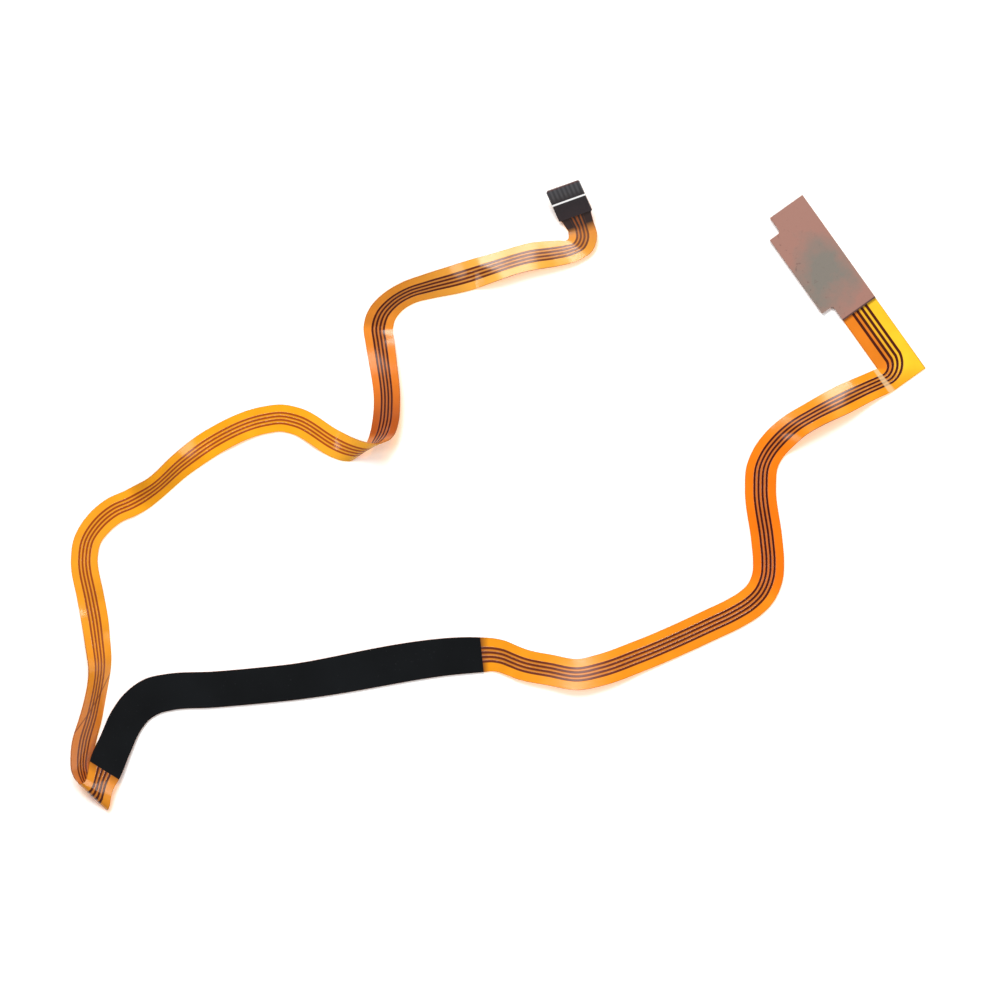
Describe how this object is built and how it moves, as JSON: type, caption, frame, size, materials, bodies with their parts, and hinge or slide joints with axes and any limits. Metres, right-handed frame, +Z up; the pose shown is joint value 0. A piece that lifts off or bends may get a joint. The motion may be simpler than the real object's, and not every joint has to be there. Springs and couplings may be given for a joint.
{
  "type": "flat flex cable",
  "caption": "Thin amber flex cable lying in a loose folded loop, with a stiffened contact tail at one end and a stepped stiffener plate at the other.",
  "frame": {"origin": "centre of the lying cable's bounding box, on the surface it lies on", "axes": "+Z up from the surface, +X along the lying cable's longest extent, towards the stiffener plate"},
  "size_m": [0.0958, 0.0704, 0.0035],
  "materials": {
    "amber_film": "glossy amber polyimide, translucent",
    "copper": "etched copper foil, dark seen through the film",
    "gold_contact": "gold-flashed contact",
    "black_film": "satin black cover film",
    "tail_backing": "dark purple-brown stiffener, satin",
    "plate_backing": "pinkish-brown glass-epoxy with grey-green patches",
    "bond_film": "clear adhesive film"
  },
  "bodies": {
    "root": {"base_film": "amber_film", "cover_film": "amber_film", "conductor_1": "copper", "conductor_2": "copper", "conductor_3": "copper", "conductor_4": "copper", "spare_contact_1": "gold_contact", "spare_contact_2": "gold_contact", "spare_contact_3": "gold_contact", "black_cover": "black_film", "tail_stiffener": "tail_backing", "tail_bond": "bond_film", "plate_stiffener": "plate_backing", "plate_bond": "bond_film"}
  },
  "joints": []
}
